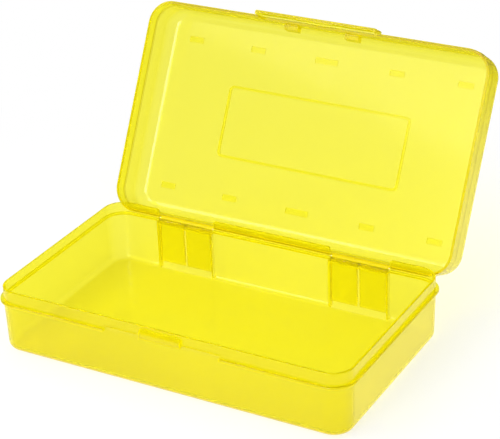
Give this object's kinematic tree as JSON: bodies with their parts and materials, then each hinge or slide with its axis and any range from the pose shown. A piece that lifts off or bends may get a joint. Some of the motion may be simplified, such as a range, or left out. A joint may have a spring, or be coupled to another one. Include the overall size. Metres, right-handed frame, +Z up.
{
  "type": "pencil box",
  "caption": "Shallow rectangular box moulded in translucent plastic, with a deep lid on flexible back straps and a snap latch at the front.",
  "frame": {"origin": "on the surface the tray stands on, under the middle of the tray", "axes": "+X along the box's length, from the left hinge to the right one; +Y from the latch side to the hinge side; +Z up out of the open tray"},
  "size_m": [0.21, 0.1967, 0.1429],
  "materials": {
    "clear_yellow_tray": "translucent lemon-yellow polypropylene, smooth and softly glossy",
    "clear_yellow_lid": "translucent lemon-yellow polypropylene, smooth and softly glossy"
  },
  "bodies": {
    "base": {"tray": "clear_yellow_tray", "hinge_strap_left": "clear_yellow_lid", "hinge_strap_right": "clear_yellow_lid", "hinge_web_left": "clear_yellow_lid", "hinge_web_right": "clear_yellow_lid"},
    "lid": {"lid": "clear_yellow_lid"}
  },
  "joints": [
    {"name": "lid_hinge", "type": "hinge", "parent": "base", "child": "lid", "pos_m": [0, 0.0606, 0.03145], "axis": [1, 0, 0], "range_deg": [0, 117.9], "deforming": ["hinge_web_left", "hinge_web_right"]}
  ]
}
